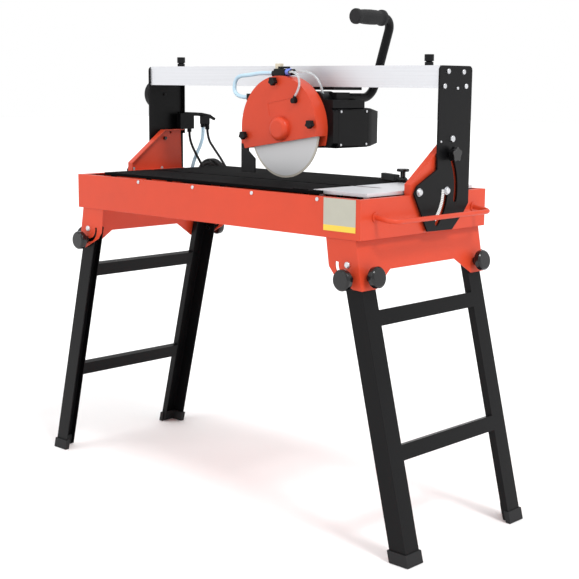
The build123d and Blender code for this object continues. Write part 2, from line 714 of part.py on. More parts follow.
def spindle():
    near = CUT_Y - BLADE_THICKNESS / 2
    far = CUT_Y + BLADE_THICKNESS / 2
    body = disc_y(BLADE_X, BLADE_Z, near - 14, 34, SPINDLE_RADIUS)
    body += disc_y(BLADE_X, BLADE_Z, near - 5, near, 27)
    body += disc_y(BLADE_X, BLADE_Z, near - 12, near - 5, 13)
    body += disc_y(BLADE_X, BLADE_Z, far, far + 6, 27)
    return body


def motor():
    half = MOTOR_SIZE / 2
    body = box(MOTOR_X - half + 0.5, MOTOR_X + half, GUARD_BACK + 20, 118, MOTOR_Z - half, MOTOR_Z + half)
    return fillet(body.edges().filter_by(Axis.Y), 9)


def fan_cover():
    half = MOTOR_SIZE / 2 - 1
    end = MOTOR_END
    outline = RectangleRounded(2 * half, 2 * half, 9)
    body = extrude(Plane(origin=(MOTOR_X, 118, MOTOR_Z), z_dir=(0, 1, 0)) * outline, amount=12)
    body += extrude(Plane(origin=(MOTOR_X, 130, MOTOR_Z), z_dir=(0, 1, 0)) * outline, amount=end - 130, taper=14)
    for i in range(-3, 4):
        body -= box(MOTOR_X - 26, MOTOR_X + 26, end - 8, end + 2, MOTOR_Z + 8 * i - 1.5, MOTOR_Z + 8 * i + 1.5)
    return body


def handle_tube():
    grip_z = HANDLE_Z + GRIP_RISE
    points = [(HANDLE_X, 8, HANDLE_Z), (HANDLE_X, 178, HANDLE_Z)]
    points += [(HANDLE_X + GRIP_OUT, 178, grip_z), (HANDLE_X + GRIP_OUT, 36, grip_z)]
    return sweep_round(points, TUBE_RADIUS, 34)


def grip():
    x = HANDLE_X + GRIP_OUT
    z = HANDLE_Z + GRIP_RISE
    outline = [(0, 26), (17, 26), (20, 28.5), (20, 37), (17.5, 39.5), (17.5, 46), (19, 66), (19.5, 88)]
    outline += [(19, 108), (17.5, 122), (17.5, 128), (21, 130.5), (21, 139), (19, 141), (0, 141)]
    face = make_face(Plane.XY * Polyline(outline + [outline[0]]))
    body = Pos(x, 0, z) * revolve(face, Axis.Y, 360)
    return body - disc_y(x, z, 36, 151, TUBE_RADIUS)


def splash_flap():
    x = BLADE_X
    z = BLADE_Z
    outline = [(x - 164, z - 40), (x - 164, z - 118), (x - 111, z - 118), (x - 111, z - 80)]
    outline += [(x - 137, z - 60), (x - 137, z - 40)]
    return slab_y(outline, CUT_Y - 3, CUT_Y + 3)


def fittings():
    """Water tap, connectors and elbow on the guard."""
    top = GUARD_Z + GUARD_RADIUS
    x = GUARD_X
    body = box(x - 30, x + 8, CUT_Y - 11, CUT_Y + 11, top - 6, top + 18)
    body -= disc_y(x, GUARD_Z, CUT_Y - 20, CUT_Y + 20, GUARD_RADIUS)
    body += rod((x - 42, CUT_Y, top + 6), (x - 29, CUT_Y, top + 6), 8)
    body += rod((x + 7, CUT_Y, top + 9.5), (x + 34, CUT_Y, top + 9.5), 8)
    body += rod((x + 20, CUT_Y, top + 9.5), (x + 33, CUT_Y - 16, top + 9), 5)
    body -= disc_z(x - 14, CUT_Y, top + 2, top + 19, 3 + RUNNING)
    elbow = disc_y(x + 63, GUARD_Z + 74, GUARD_FRONT - 16, GUARD_FRONT - 3, 7)
    elbow += rod((x + 63, GUARD_FRONT - 10, GUARD_Z + 76), (x + 67, GUARD_FRONT - 10, GUARD_Z + 86), 4.5)
    block = box(x - 135, x - 96, CUT_Y - 9, CUT_Y + 9, GUARD_Z + 72, GUARD_Z + 90)
    block -= disc_y(x, GUARD_Z, CUT_Y - 20, CUT_Y + 20, GUARD_RADIUS)
    return Compound(children=[body, elbow, block])


def tap_lever():
    top = GUARD_Z + GUARD_RADIUS
    x = GUARD_X - 14
    body = disc_z(x, CUT_Y, top + 3, top + 20, 3) + disc_z(x, CUT_Y, top + 18.5, top + 24, 8)
    return body + box(x - 4, x + 30, CUT_Y - 4, CUT_Y + 4, top + 19, top + 24)


def head_hose_points():
    top = GUARD_Z + GUARD_RADIUS
    x = GUARD_X
    points = [(x - 42, CUT_Y, top + 6), (x - 84, CUT_Y, top + 8), (x - 130, CUT_Y, top + 2)]
    points += [(x - 190, CUT_Y, top - 2), (x - 193, CUT_Y, top - 61), (x - 134, CUT_Y, top - 57)]
    return points


def head_hose():
    return cord_tube(head_hose_points(), HEAD_HOSE_DIAMETER, "head_hose")


def guard_tube_points():
    top = GUARD_Z + GUARD_RADIUS
    x = GUARD_X
    points = [(x + 34, CUT_Y, top + 9.5), (x + 58, CUT_Y, top + 12), (x + 92, CUT_Y + 6, top + 8)]
    points += [(x + 115, CUT_Y + 16, top - 18), (x + 110, CUT_Y + 31, top - 50)]
    return points


def guard_tube():
    return cord_tube(guard_tube_points(), THIN_TUBE_DIAMETER, "guard_tube")


def spray_tube_points():
    top = GUARD_Z + GUARD_RADIUS
    x = GUARD_X
    points = [(x + 33, CUT_Y - 16, top + 9), (x + 52, CUT_Y - 28, top + 12), (x + 78, CUT_Y - 31, top + 2)]
    points += [(x + 84, CUT_Y - 31, top - 22), (x + 75, CUT_Y - 31, top - 42)]
    points += [(x + 67, CUT_Y - 31, GUARD_Z + 86)]
    return points


def spray_tube():
    return cord_tube(spray_tube_points(), THIN_TUBE_DIAMETER, "spray_tube")


# ---------------------------------------------------------------- fence

def fence_slide():
    z = TABLE_TOP + 1.4
    body = box(FENCE_X - 13, FENCE_X + 30, FENCE_Y - 16, FENCE_Y + 16, z, z + 5)
    return body - disc_z(FENCE_X, FENCE_Y, z - 1, z + 6, STUD_RADIUS + RUNNING)


def fence_bar():
    z = TABLE_TOP + 7
    bar = Box(FENCE_REACH, 12, 17, align=(Align.MAX, Align.CENTER, Align.MIN))
    pad = Box(FENCE_REACH - 8, 4, 17, align=(Align.MAX, Align.CENTER, Align.MIN))
    body = Pos(-22, -4, -5) * bar + Pos(-26, -12, -5) * pad
    body += Cylinder(12, 4, align=(Align.CENTER, Align.CENTER, Align.MIN))
    body += Pos(-24, -4, 0) * Box(24, 9, 4, align=(Align.MIN, Align.CENTER, Align.MIN))
    body -= Cylinder(14, 20, align=(Align.CENTER, Align.CENTER, Align.MIN)).moved(Location((0, 0, 4)))
    body -= Cylinder(STUD_RADIUS + RUNNING, 60)
    return Pos(FENCE_X, FENCE_Y, z) * Rot(0, 0, -24) * body


def fence_knob():
    z = TABLE_TOP + 11.5
    knob = rod((0, 0, -9), (0, 0, 1), STUD_RADIUS) + rod((0, 0, 0), (0, 0, 2), 10)
    knob += rod((0, 0, 1), (0, 0, 18), 7)
    head = rod((0, 0, 17), (0, 0, 25), 17)
    knob += chamfer(head.edges().filter_by(GeomType.CIRCLE), 1.5)
    return Pos(FENCE_X, FENCE_Y, z) * knob


def parts():
    knobs = guard_knob_places()
    made = {
        "tub": tub(),
        "table_front": table_front(),
        "table_rear": table_rear(),
        "end_plate": end_plate(),
        "bracket_right": bracket_right(),
        "bracket_left": mirrored(bracket_right()),
        "gussets": gussets(),
        "carry_rail": carry_rail(),
        "tub_bolts": tub_bolts(),
        "label_plate": label_plate(),
        "pump": pump(),
        "hose_arm": hose_arm(),
        "supply_hose": supply_hose(),
        "pump_lead": pump_lead(),
        "mains_cord": mains_cord(),
        "mains_coil": mains_coil(),
        "mains_plug": mains_plug(),
        "leg_frame_right": leg_frame_right(),
        "leg_frame_left": mirrored(leg_frame_right()),
        "feet_right": feet_right(),
        "feet_left": mirrored(feet_right()),
        "post_right": post_right(),
        "post_left": post_left(),
        "beam": beam(),
        "gantry_bolts": gantry_bolts(),
        "bevel_knob_right": bevel_knob_right(),
        "bevel_knob_left": mirrored(bevel_knob_right()),
        "post_knob": post_knob(),
        "stop_knob_right": stop_knob(1),
        "stop_knob_left": stop_knob(-1),
        "carriage": carriage(),
        "arm": arm(),
        "guard_back": guard_back(),
        "guard_front": guard_front(),
        "guard_knob_top": guard_knob(knobs[0]),
        "guard_knob_right": guard_knob(knobs[1]),
        "guard_knob_left": guard_knob(knobs[2]),
        "blade": blade(),
        "spindle": spindle(),
        "motor": motor(),
        "fan_cover": fan_cover(),
        "handle_tube": handle_tube(),
        "grip": grip(),
        "splash_flap": splash_flap(),
        "fittings": fittings(),
        "tap_lever": tap_lever(),
        "head_hose": head_hose(),
        "guard_tube": guard_tube(),
        "spray_tube": spray_tube(),
        "fence_slide": fence_slide(),
        "fence_bar": fence_bar(),
        "fence_knob": fence_knob(),
    }
    for end, side_x in (("right", 1), ("left", -1)):
        for face, side_y in (("front", -1), ("back", 1)):
            made["leg_knob_" + end + "_" + face] = leg_knob(side_x, side_y)
            made["end_knob_" + end + "_" + face] = end_knob(side_x, side_y)
    return made


os.makedirs("parts", exist_ok=True)
for name, solid in parts().items():
    export_step(solid, "parts/" + name + ".step")
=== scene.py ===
import json
from math import cos, pi, radians, sin

import bpy
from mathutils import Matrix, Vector


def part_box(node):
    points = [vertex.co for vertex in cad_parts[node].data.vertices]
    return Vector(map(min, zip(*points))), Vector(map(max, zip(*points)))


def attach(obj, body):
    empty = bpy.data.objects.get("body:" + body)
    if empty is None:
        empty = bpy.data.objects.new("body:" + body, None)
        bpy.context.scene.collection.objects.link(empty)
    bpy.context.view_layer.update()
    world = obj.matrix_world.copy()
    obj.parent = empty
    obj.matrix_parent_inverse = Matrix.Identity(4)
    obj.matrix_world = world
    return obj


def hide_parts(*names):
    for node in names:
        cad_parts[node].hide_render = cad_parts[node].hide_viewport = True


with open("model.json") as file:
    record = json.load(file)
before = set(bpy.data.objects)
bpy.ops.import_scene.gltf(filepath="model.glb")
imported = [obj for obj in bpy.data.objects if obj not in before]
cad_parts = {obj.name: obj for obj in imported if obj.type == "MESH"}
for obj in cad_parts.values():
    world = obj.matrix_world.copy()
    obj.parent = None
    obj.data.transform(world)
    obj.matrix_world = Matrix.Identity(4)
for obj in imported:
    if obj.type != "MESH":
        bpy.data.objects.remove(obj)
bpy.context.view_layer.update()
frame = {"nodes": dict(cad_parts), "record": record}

CUT_Y = -0.045
TILT_PIVOT = (0.0, CUT_Y, 0.863)
BLADE_RADIUS = 0.125

SCALE_RADIUS = 0.0975
SCALE_FACE = 0.5501
SCALE_START_DEG = 1
SCALE_SWEEP_DEG = 48
SCALE_THICKNESS = 0.0004
SCALE_TICK_DEG = 2.5

EDGE_ANGLE_DEG = 32.0
SMOOTH_ANGLE_DEG = 38

COIL_CENTRE = (-0.530, 0.8215)
COIL_PITCH = 0.009
COIL_RADIUS = 0.0585
COIL_NEAR_Y = 0.2585
COIL_FAR_Y = 0.2765
COIL_LAYERS = 3
TURNS_PER_LAYER = 3
POINTS_PER_TURN = 16

CAMERA_PLACE = (2.381, -2.415, 1.120)
CAMERA_DOWN_DEG = 9.5
CAMERA_TURN_DEG = 43.66
CAMERA_ROLL_DEG = 0.51
CAMERA_LENS = 76.4

bl_info = {
    "name": "Tile cutter",
    "version": (1, 0, 0),
    "blender": (4, 5, 0),
    "location": "View3D > Sidebar > Tile Cutter",
    "description": "Finishes a bridge tile cutter: softened castings, cords, markings and materials",
    "category": "Object",
}


# ---------------------------------------------------------------- settings

class FinishSettings(bpy.types.PropertyGroup):
    """Sizes of the finishing work."""
    casting_edge: bpy.props.FloatProperty(
        name="Casting edge", description="Width of the softened edge on thick pieces",
        default=0.0012, min=0.0, max=0.005, unit="LENGTH")
    sheet_edge: bpy.props.FloatProperty(
        name="Sheet edge", description="Width of the softened edge on folded sheet",
        default=0.0006, min=0.0, max=0.002, unit="LENGTH")
    hose_diameter: bpy.props.FloatProperty(
        name="Hose diameter", description="Outside diameter of the water supply hose",
        default=0.011, min=0.006, max=0.02, unit="LENGTH")
    head_hose_diameter: bpy.props.FloatProperty(
        name="Head hose diameter", description="Outside diameter of the hose on the head",
        default=0.011, min=0.005, max=0.02, unit="LENGTH")
    mains_diameter: bpy.props.FloatProperty(
        name="Mains diameter", description="Outside diameter of the mains lead",
        default=0.008, min=0.006, max=0.012, unit="LENGTH")
    tube_diameter: bpy.props.FloatProperty(
        name="Spray tube diameter", description="Outside diameter of the clear water tubes",
        default=0.006, min=0.003, max=0.01, unit="LENGTH")
    scale_width: bpy.props.FloatProperty(
        name="Scale width", description="Width of the angle scale on each post",
        default=0.011, min=0.004, max=0.02, unit="LENGTH")


class ColourSettings(bpy.types.PropertyGroup):
    """Colours of the finishes."""
    orange: bpy.props.FloatVectorProperty(
        name="Powder coat", description="Colour of the coated sheet steel", subtype="COLOR",
        size=3, default=(0.58, 0.052, 0.018), min=0.0, max=1.0)
    black: bpy.props.FloatVectorProperty(
        name="Black coat", description="Colour of the black painted steel", subtype="COLOR",
        size=3, default=(0.004, 0.004, 0.0045), min=0.0, max=1.0)
    metal: bpy.props.FloatVectorProperty(
        name="Bare metal", description="Colour of the anodised beam and plates", subtype="COLOR",
        size=3, default=(0.70, 0.71, 0.74), min=0.0, max=1.0)
    hose: bpy.props.FloatVectorProperty(
        name="Hose", description="Colour of the water hose", subtype="COLOR",
        size=3, default=(0.46, 0.64, 0.76), min=0.0, max=1.0)
    rubber: bpy.props.FloatVectorProperty(
        name="Rubber", description="Colour of the feet, grip and leads", subtype="COLOR",
        size=3, default=(0.015, 0.015, 0.016), min=0.0, max=1.0)
    floor: bpy.props.FloatVectorProperty(
        name="Floor", description="Colour of the studio floor", subtype="COLOR",
        size=3, default=(0.97, 0.97, 0.97), min=0.0, max=1.0)


# ---------------------------------------------------------------- shared effects

def new_group(name, inputs, outputs):
    """A shader node group with inputs (name, kind, default) and outputs (name, kind)."""
    group = bpy.data.node_groups.new(name, "ShaderNodeTree")
    for label, kind, value in inputs:
        socket = group.interface.new_socket(label, in_out="INPUT", socket_type=kind)
        if value is not None:
            socket.default_value = value
    for label, kind in outputs:
        group.interface.new_socket(label, in_out="OUTPUT", socket_type=kind)
    start = group.nodes.new("NodeGroupInput")
    end = group.nodes.new("NodeGroupOutput")
    return group, start, end


def math_node(tree, operation, first, second):
    node = tree.nodes.new("ShaderNodeMath")
    node.operation = operation
    for socket, value in ((node.inputs[0], first), (node.inputs[1], second)):
        if isinstance(value, (int, float)):
            socket.default_value = value
        else:
            tree.links.new(value, socket)
    return node.outputs[0]


def noise_node(tree, place, scale, detail=4.0, rough=0.55):
    node = tree.nodes.new("ShaderNodeTexNoise")
    node.inputs["Detail"].default_value = detail
    node.inputs["Roughness"].default_value = rough
    if isinstance(scale, (int, float)):
        node.inputs["Scale"].default_value = scale
    else:
        tree.links.new(scale, node.inputs["Scale"])
    tree.links.new(place, node.inputs["Vector"])
    return node.outputs["Fac"]


def build_grain_group():
    """Fine surface relief and the tone and gloss changes that go with it."""
    inputs = [("Vector", "NodeSocketVector", None), ("Size", "NodeSocketFloat", 900.0),
              ("Patch Size", "NodeSocketFloat", 6.0)]
    outputs = [("Height", "NodeSocketFloat"), ("Tone", "NodeSocketFloat")]
    group, start, end = new_group("Surface Grain", inputs, outputs)
    fine = noise_node(group, start.outputs["Vector"], start.outputs["Size"], 3.0, 0.5)
    broad = noise_node(group, start.outputs["Vector"], start.outputs["Patch Size"], 6.0, 0.65)
    group.links.new(fine, end.inputs["Height"])
    group.links.new(broad, end.inputs["Tone"])


def build_brush_group():
    """Long fine brushed lines along one axis."""
    inputs = [("Vector", "NodeSocketVector", None), ("Stretch", "NodeSocketVector", (4.0, 900.0, 900.0))]
    outputs = [("Lines", "NodeSocketFloat")]
    group, start, end = new_group("Brushed Lines", inputs, outputs)
    scale = group.nodes.new("ShaderNodeVectorMath")
    scale.operation = "MULTIPLY"
    group.links.new(start.outputs["Vector"], scale.inputs[0])
    group.links.new(start.outputs["Stretch"], scale.inputs[1])
    lines = noise_node(group, scale.outputs[0], 1.0, 2.0, 0.5)
    group.links.new(lines, end.inputs["Lines"])


def build_dust_group():
    """A mask of dust on faces that look up, broken up by noise."""
    inputs = [("Vector", "NodeSocketVector", None), ("Amount", "NodeSocketFloat", 0.3)]
    group, start, end = new_group("Settled Dust", inputs, [("Mask", "NodeSocketFloat")])
    geometry = group.nodes.new("ShaderNodeNewGeometry")
    split = group.nodes.new("ShaderNodeSeparateXYZ")
    group.links.new(geometry.outputs["Normal"], split.inputs[0])
    up = math_node(group, "MAXIMUM", split.outputs["Z"], 0.0)
    patch = noise_node(group, start.outputs["Vector"], 35.0, 8.0, 0.7)
    broken = math_node(group, "MULTIPLY", up, patch)
    mask = math_node(group, "MULTIPLY", broken, start.outputs["Amount"])
    group.links.new(mask, end.inputs["Mask"])


def group_node(tree, group, place):
    node = tree.nodes.new("ShaderNodeGroup")
    node.node_tree = group
    tree.links.new(place, node.inputs["Vector"])
    return node


def ramp(tree, value, low, high, start=0.3, end=0.7):
    """Two colours mixed by a value."""
    node = tree.nodes.new("ShaderNodeValToRGB")
    node.color_ramp.elements[0].position = start
    node.color_ramp.elements[0].color = (*low, 1.0)
    node.color_ramp.elements[1].position = end
    node.color_ramp.elements[1].color = (*high, 1.0)
    tree.links.new(value, node.inputs[0])
    return node.outputs["Color"]


def map_range(tree, value, low, high):
    node = tree.nodes.new("ShaderNodeMapRange")
    node.inputs["From Min"].default_value = 0.3
    node.inputs["From Max"].default_value = 0.7
    node.inputs["To Min"].default_value = low
    node.inputs["To Max"].default_value = high
    tree.links.new(value, node.inputs["Value"])
    return node.outputs["Result"]


def mix_colour(tree, mask, first, second):
    node = tree.nodes.new("ShaderNodeMix")
    node.data_type = "RGBA"
    tree.links.new(mask, node.inputs[0])
    for index, value in ((6, first), (7, second)):
        if isinstance(value, tuple):
            node.inputs[index].default_value = (*value, 1.0)
        else:
            tree.links.new(value, node.inputs[index])
    return node.outputs[2]


def shaded(colour, factor):
    return tuple(min(1.0, c * factor) for c in colour)


def start_material(name):
    material = bpy.data.materials.new(name)
    material.use_nodes = True
    tree = material.node_tree
    shader = tree.nodes["Principled BSDF"]
    place = tree.nodes.new("ShaderNodeTexCoord").outputs["Object"]
    return tree, shader, place


def add_bump(tree, shader, height, strength, distance):
    bump = tree.nodes.new("ShaderNodeBump")
    bump.inputs["Strength"].default_value = strength
    bump.inputs["Distance"].default_value = distance
    tree.links.new(height, bump.inputs["Height"])
    tree.links.new(bump.outputs["Normal"], shader.inputs["Normal"])


def coated(name, colour, gloss, grain, relief, dust=0.25, metallic=0.0, coat=0.0, spread=0.16,
           shine=0.5):
    """A painted, moulded or rubber finish: grain relief, patchy tone and gloss, settled dust."""
    tree, shader, place = start_material(name)
    skin = group_node(tree, bpy.data.node_groups["Surface Grain"], place)
    skin.inputs["Size"].default_value = grain
    settled = group_node(tree, bpy.data.node_groups["Settled Dust"], place)
    settled.inputs["Amount"].default_value = dust
    base = ramp(tree, skin.outputs["Tone"], shaded(colour, 1 - spread), shaded(colour, 1 + spread * 0.7))
    dusty = tuple(0.6 * c + 0.4 * 0.5 for c in colour)
    tree.links.new(mix_colour(tree, settled.outputs["Mask"], base, dusty), shader.inputs["Base Color"])
    roughness = map_range(tree, skin.outputs["Tone"], gloss - 0.05, gloss + 0.08)
    tree.links.new(roughness, shader.inputs["Roughness"])
    add_bump(tree, shader, skin.outputs["Height"], relief, 0.0004)
    shader.inputs["Metallic"].default_value = metallic
    shader.inputs["Coat Weight"].default_value = coat
    shader.inputs["Coat Roughness"].default_value = 0.12
    shader.inputs["Specular IOR Level"].default_value = shine


def brushed(name, colour, gloss, stretch, relief=0.15, dust=0.1):
    """Bare metal with fine lines along one axis."""
    tree, shader, place = start_material(name)
    lines = group_node(tree, bpy.data.node_groups["Brushed Lines"], place)
    lines.inputs["Stretch"].default_value = stretch
    skin = group_node(tree, bpy.data.node_groups["Surface Grain"], place)
    base = ramp(tree, lines.outputs["Lines"], shaded(colour, 0.95), shaded(colour, 1.03))
    settled = group_node(tree, bpy.data.node_groups["Settled Dust"], place)
    settled.inputs["Amount"].default_value = dust
    dusty = mix_colour(tree, settled.outputs["Mask"], base, (0.5, 0.5, 0.5))
    tree.links.new(dusty, shader.inputs["Base Color"])
    roughness = map_range(tree, skin.outputs["Tone"], gloss - 0.06, gloss + 0.1)
    tree.links.new(roughness, shader.inputs["Roughness"])
    add_bump(tree, shader, lines.outputs["Lines"], relief, 0.0002)
    shader.inputs["Metallic"].default_value = 0.6


def radial(name, centre, bands):
    """Turned metal whose colour and lines follow the distance from an axis along Y."""
    tree, shader, place = start_material(name)
    shift = tree.nodes.new("ShaderNodeVectorMath")
    shift.operation = "SUBTRACT"
    shift.inputs[1].default_value = centre
    tree.links.new(place, shift.inputs[0])
    flat = tree.nodes.new("ShaderNodeVectorMath")
    flat.operation = "MULTIPLY"
    flat.inputs[1].default_value = (1.0, 0.0, 1.0)
    tree.links.new(shift.outputs[0], flat.inputs[0])
    length = tree.nodes.new("ShaderNodeVectorMath")
    length.operation = "LENGTH"
    tree.links.new(flat.outputs[0], length.inputs[0])
    radius = length.outputs["Value"]
    share = math_node(tree, "DIVIDE", radius, BLADE_RADIUS)
    node = tree.nodes.new("ShaderNodeValToRGB")
    node.color_ramp.interpolation = "CONSTANT"
    elements = node.color_ramp.elements
    elements[0].color = (*bands[0][1], 1.0)
    elements[1].position = bands[1][0]
    elements[1].color = (*bands[1][1], 1.0)
    for position, colour in bands[2:]:
        elements.new(position).color = (*colour, 1.0)
    tree.links.new(share, node.inputs[0])
    rings = noise_node(tree, math_to_vector(tree, radius, 1400.0), 1.0, 2.0, 0.5)
    grit = noise_node(tree, place, 1500.0, 2.0, 0.6)
    tone = map_range(tree, rings, 0.82, 1.0)
    tinted = tree.nodes.new("ShaderNodeMix")
    tinted.data_type = "RGBA"
    tinted.blend_type = "MULTIPLY"
    tinted.inputs[0].default_value = 1.0
    tree.links.new(node.outputs["Color"], tinted.inputs[6])
    tree.links.new(tone, tinted.inputs[7])
    tree.links.new(tinted.outputs[2], shader.inputs["Base Color"])
    tree.links.new(map_range(tree, grit, 0.34, 0.46), shader.inputs["Roughness"])
    add_bump(tree, shader, rings, 0.12, 0.0002)
    shader.inputs["Metallic"].default_value = 0.75


def math_to_vector(tree, value, factor):
    node = tree.nodes.new("ShaderNodeCombineXYZ")
    tree.links.new(math_node(tree, "MULTIPLY", value, factor), node.inputs[0])
    return node.outputs[0]


def striped(name, colour, stripe, height, gloss):
    """A printed plate: one colour above a height, a stripe of another below it."""
    tree, shader, place = start_material(name)
    split = tree.nodes.new("ShaderNodeSeparateXYZ")
    tree.links.new(place, split.inputs[0])
    above = math_node(tree, "GREATER_THAN", split.outputs["Z"], height)
    grain = group_node(tree, bpy.data.node_groups["Surface Grain"], place)
    base = ramp(tree, grain.outputs["Tone"], shaded(colour, 0.92), shaded(colour, 1.05))
    tree.links.new(mix_colour(tree, above, stripe, base), shader.inputs["Base Color"])
    tree.links.new(map_range(tree, grain.outputs["Tone"], gloss, gloss + 0.1), shader.inputs["Roughness"])
    add_bump(tree, shader, grain.outputs["Height"], 0.08, 0.0002)


def scale_material(name, pivot):
    """The angle scale: a pale band with evenly spaced dark ticks about the tilt pivot."""
    tree, shader, place = start_material(name)
    shift = tree.nodes.new("ShaderNodeVectorMath")
    shift.operation = "SUBTRACT"
    shift.inputs[1].default_value = pivot
    tree.links.new(place, shift.inputs[0])
    split = tree.nodes.new("ShaderNodeSeparateXYZ")
    tree.links.new(shift.outputs[0], split.inputs[0])
    angle = math_node(tree, "ARCTAN2", split.outputs["Z"], split.outputs["Y"])
    turns = math_node(tree, "MULTIPLY", angle, 180.0 / pi / SCALE_TICK_DEG)
    part = math_node(tree, "FRACT", math_node(tree, "ADD", turns, 100.0), 0.0)
    tick = math_node(tree, "LESS_THAN", part, 0.22)
    grain = group_node(tree, bpy.data.node_groups["Surface Grain"], place)
    base = ramp(tree, grain.outputs["Tone"], (0.62, 0.62, 0.61), (0.8, 0.8, 0.79))
    tree.links.new(mix_colour(tree, tick, base, (0.05, 0.05, 0.05)), shader.inputs["Base Color"])
    tree.links.new(map_range(tree, grain.outputs["Tone"], 0.35, 0.5), shader.inputs["Roughness"])


def clear_material(name, colour):
    """Clear flexible tube."""
    tree, shader, place = start_material(name)
    tone = noise_node(tree, place, 60.0, 3.0, 0.5)
    tree.links.new(ramp(tree, tone, shaded(colour, 0.9), colour), shader.inputs["Base Color"])
    tree.links.new(map_range(tree, tone, 0.08, 0.2), shader.inputs["Roughness"])
    shader.inputs["Transmission Weight"].default_value = 0.55
    shader.inputs["IOR"].default_value = 1.4


def build_materials(colours):
    build_grain_group()
    build_brush_group()
    build_dust_group()
    black = tuple(colours.black)
    metal = tuple(colours.metal)
    rubber = tuple(colours.rubber)
    coated("Orange Powder Coat", tuple(colours.orange), 0.4, 700.0, 0.22, dust=0.04, coat=0.1,
           spread=0.07, shine=0.25)
    coated("Black Powder Coat", black, 0.36, 900.0, 0.3, dust=0.0, shine=0.12)
    coated("Moulded Black", shaded(black, 1.2), 0.46, 1400.0, 0.35, dust=0.02, shine=0.18)
    coated("Table Coat", shaded(black, 1.1), 0.86, 380.0, 0.9, dust=0.0, shine=0.05)
    coated("Gloss Black", black, 0.16, 300.0, 0.05, dust=0.01, coat=0.3, shine=0.3)
    coated("Black Rubber", rubber, 0.62, 1600.0, 0.4, dust=0.04, shine=0.2)
    coated("Grey Rubber", (0.05, 0.052, 0.052), 0.6, 1500.0, 0.4, dust=0.1, shine=0.25)
    coated("Hose Blue", tuple(colours.hose), 0.3, 500.0, 0.1, dust=0.02, coat=0.1)
    coated("Zinc Plate", (0.62, 0.63, 0.65), 0.3, 900.0, 0.12, dust=0.05, metallic=0.9)
    coated("Beige Block", (0.62, 0.55, 0.42), 0.45, 1200.0, 0.2, dust=0.1)
    coated("Blue Connector", (0.16, 0.24, 0.72), 0.3, 1200.0, 0.2, dust=0.1)
    coated("Studio Floor", tuple(colours.floor), 0.75, 40.0, 0.02, dust=0.0, spread=0.01)
    brushed("Beam Aluminium", metal, 0.4, (3.0, 700.0, 900.0), relief=0.06)
    brushed("Plate Aluminium", shaded(metal, 1.1), 0.4, (6.0, 500.0, 900.0))
    blade_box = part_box("blade")
    low, high = Vector(blade_box[0]), Vector(blade_box[1])
    steel = (0.62, 0.62, 0.63)
    bands = [(0.0, steel), (0.955, (0.42, 0.40, 0.36)), (0.965, (0.56, 0.52, 0.45))]
    radial("Diamond Blade", tuple((low + high) / 2), bands)
    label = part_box("label_plate")
    striped("Rating Plate", (0.42, 0.41, 0.34), (0.75, 0.52, 0.05), label[0][2] + 0.014, 0.35)
    scale_material("Angle Scale", TILT_PIVOT)
    clear_material("Clear Tube", (0.75, 0.8, 0.82))


SLOT_FINISH = {
    "orange_paint": "Orange Powder Coat",
    "black_paint": "Black Powder Coat",
    "aluminium": "Beam Aluminium",
    "zinc": "Zinc Plate",
    "label": "Rating Plate",
    "black_plastic": "Moulded Black",
    "black_gloss": "Gloss Black",
    "black_rubber": "Black Rubber",
    "grey_rubber": "Grey Rubber",
    "blue_hose": "Hose Blue",
    "clear_tube": "Clear Tube",
    "blade_steel": "Diamond Blade",
}


# ---------------------------------------------------------------- making tools

def node_slot(node):
    for entry in frame["record"]["subparts"]:
        if entry["node"] == node:
            return entry["material_slot"]
    raise RuntimeError("no finish for " + node)


def node_body(node):
    for body, nodes in frame["record"]["behaviour"]["bodies"].items():
        if node in nodes:
            return body
    raise RuntimeError("no body for " + node)


def set_material(obj, name):
    obj.data.materials.clear()
    obj.data.materials.append(bpy.data.materials[name])


def deselect():
    if bpy.context.object and bpy.context.object.mode != "OBJECT":
        bpy.ops.object.mode_set(mode="OBJECT")
    bpy.ops.object.select_all(action="DESELECT")


def make_active(obj):
    deselect()
    obj.select_set(True)
    bpy.context.view_layer.objects.active = obj


def place_in_mesh(obj):
    make_active(obj)
    bpy.ops.object.transform_apply(location=True, rotation=True, scale=True)


def apply_modifiers(obj):
    make_active(obj)
    for modifier in list(obj.modifiers):
        bpy.ops.object.modifier_apply(modifier=modifier.name)


def settle(obj, body, material):
    """Gives a finished piece its place in the mesh, its body and its material."""
    place_in_mesh(obj)
    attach(obj, body)
    set_material(obj, material)


def soften_copy(node, width):
    """A copy of a CAD node with merged faces and softened edges, which stands for the node."""
    source = frame["nodes"][node]
    obj = source.copy()
    obj.data = source.data.copy()
    obj.name = node + "_soft"
    bpy.context.collection.objects.link(obj)
    obj.parent = None
    obj.matrix_world = source.matrix_world.copy()
    place_in_mesh(obj)
    bpy.ops.object.mode_set(mode="EDIT")
    bpy.ops.mesh.select_all(action="SELECT")
    bpy.ops.mesh.remove_doubles(threshold=0.000005)
    bpy.ops.mesh.dissolve_limited(angle_limit=radians(0.5))
    bpy.ops.object.mode_set(mode="OBJECT")
    bevel = obj.modifiers.new("Soft edge", "BEVEL")
    bevel.width = width
    bevel.segments = 2
    bevel.limit_method = "ANGLE"
    bevel.angle_limit = radians(EDGE_ANGLE_DEG)
    bevel.harden_normals = False
    bevel.use_clamp_overlap = True
    apply_modifiers(obj)
    bpy.ops.object.shade_smooth_by_angle(angle=radians(SMOOTH_ANGLE_DEG))
    even = obj.modifiers.new("Even shading", "WEIGHTED_NORMAL")
    even.weight = 100
    even.keep_sharp = True
    apply_modifiers(obj)
    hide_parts(node)
    slot = node_slot(node)
    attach(obj, node_body(node))
    set_material(obj, SLOT_FINISH[slot])
    return obj


# ---------------------------------------------------------------- pieces

